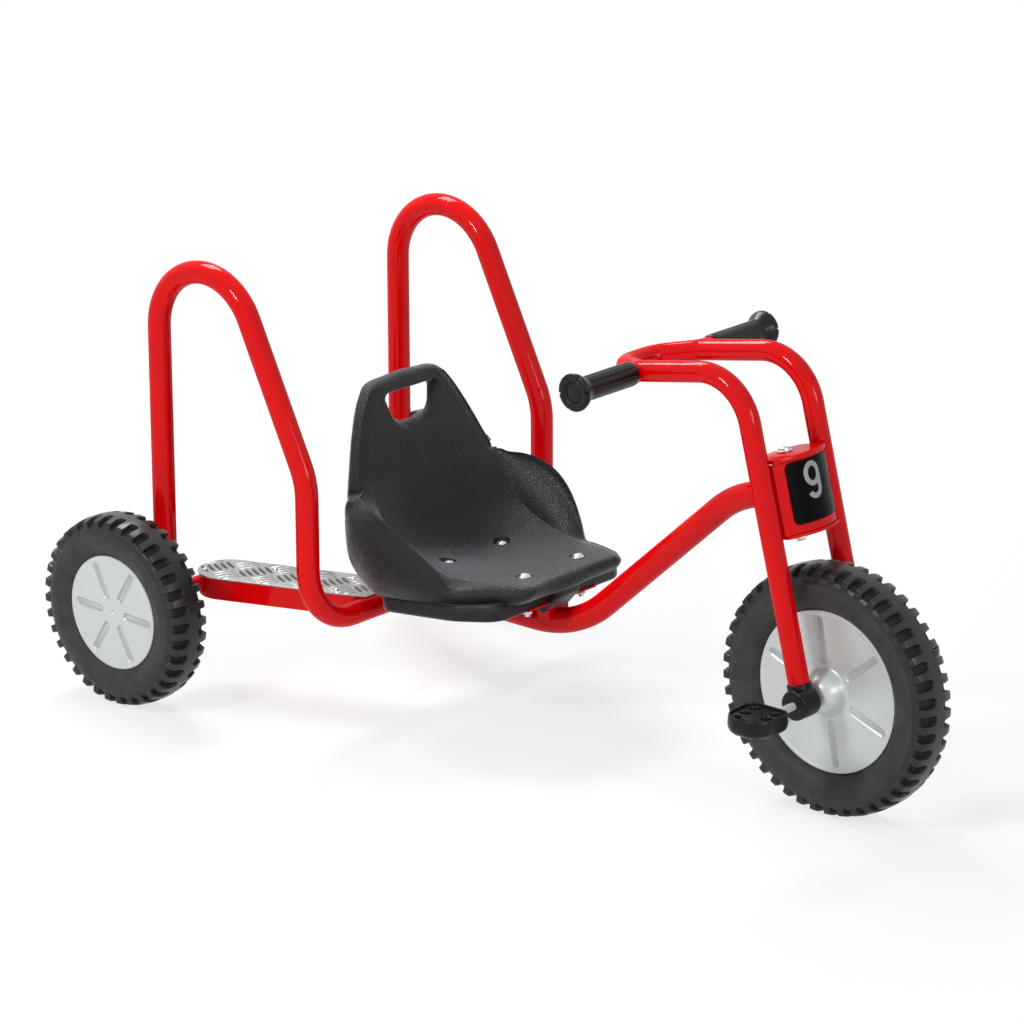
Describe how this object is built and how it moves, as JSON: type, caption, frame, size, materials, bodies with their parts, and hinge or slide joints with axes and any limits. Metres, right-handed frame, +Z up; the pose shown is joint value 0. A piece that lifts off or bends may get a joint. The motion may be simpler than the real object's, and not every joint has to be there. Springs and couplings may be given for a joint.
{
  "type": "kids ride-on kart",
  "caption": "Three-wheeled children's ride-on kart: bucket seat on a bent tube frame, steered front wheel with foot pedals, and rear footboards with tall grab loops.",
  "frame": {"origin": "on the ground under the middle of the overall length and width", "axes": "+X forward, +Y to the rider's left, +Z up"},
  "size_m": [1.2239, 0.667, 0.596],
  "materials": {
    "red_paint": "gloss powder coat",
    "black_plastic": "fine moulded grain",
    "tyre": "matt",
    "disc": "silver, satin",
    "zinc": "zinc plated",
    "tread_plate": "five-bar tread pattern",
    "number_plate": "gloss"
  },
  "bodies": {
    "frame": {"backbone_tube": "red_paint", "head_tube": "red_paint", "cross_tube": "red_paint", "grab_loop_left": "red_paint", "grab_loop_right": "red_paint", "platform_channel_left": "red_paint", "platform_channel_right": "red_paint", "tread_plate_left": "tread_plate", "tread_plate_right": "tread_plate", "rear_axle_left": "red_paint", "rear_axle_right": "red_paint", "seat_bracket_front": "red_paint", "seat_bracket_rear": "red_paint", "seat_shell": "black_plastic", "seat_bolt_front_left": "zinc", "seat_bolt_front_right": "zinc", "seat_bolt_rear_left": "zinc", "seat_bolt_rear_right": "zinc", "seat_nut_front_left": "zinc", "seat_nut_front_right": "zinc", "seat_nut_rear_left": "zinc", "seat_nut_rear_right": "zinc"},
    "fork": {"fork_leg_left": "red_paint", "fork_leg_right": "red_paint", "handlebar": "red_paint", "grip_left": "black_plastic", "grip_right": "black_plastic", "head_top_plate": "red_paint", "head_bottom_plate": "red_paint", "head_panel": "red_paint", "number_plate": "number_plate", "pivot_bolt": "zinc", "pivot_nut": "zinc", "bearing_half_front_left": "black_plastic", "bearing_half_front_right": "black_plastic", "bearing_half_rear_left": "black_plastic", "bearing_half_rear_right": "black_plastic"},
    "front_wheel": {"front_axle": "zinc", "front_tyre": "tyre", "front_disc_left": "disc", "front_disc_right": "disc", "front_hub": "zinc", "pedal_nut_left": "zinc", "pedal_nut_right": "zinc"},
    "pedal_left": {"pedal_left": "black_plastic"},
    "pedal_right": {"pedal_right": "black_plastic"},
    "rear_wheel_left": {"rear_tyre_left": "tyre", "rear_disc_inner_left": "disc", "rear_disc_outer_left": "disc", "rear_hub_left": "black_plastic"},
    "rear_wheel_right": {"rear_tyre_right": "tyre", "rear_disc_inner_right": "disc", "rear_disc_outer_right": "disc", "rear_hub_right": "black_plastic"}
  },
  "joints": [
    {"name": "steering", "type": "hinge", "parent": "frame", "child": "fork", "pos_m": [0.38, 0, 0.397], "axis": [-0.2504, 0, 0.9681], "range_deg": [-60, 60]},
    {"name": "front_wheel_spin", "type": "hinge", "parent": "fork", "child": "front_wheel", "pos_m": [0.452, 0, 0.16], "axis": [0, 1, 0], "continuous": true},
    {"name": "pedal_spin_left", "type": "hinge", "parent": "front_wheel", "child": "pedal_left", "pos_m": [0.452, 0.155, 0.16], "axis": [0, 1, 0], "continuous": true},
    {"name": "pedal_spin_right", "type": "hinge", "parent": "front_wheel", "child": "pedal_right", "pos_m": [0.452, -0.155, 0.16], "axis": [0, 1, 0], "continuous": true},
    {"name": "rear_wheel_spin_left", "type": "hinge", "parent": "frame", "child": "rear_wheel_left", "pos_m": [-0.484, 0.303, 0.128], "axis": [0, 1, 0], "continuous": true},
    {"name": "rear_wheel_spin_right", "type": "hinge", "parent": "frame", "child": "rear_wheel_right", "pos_m": [-0.484, -0.303, 0.128], "axis": [0, 1, 0], "continuous": true}
  ]
}
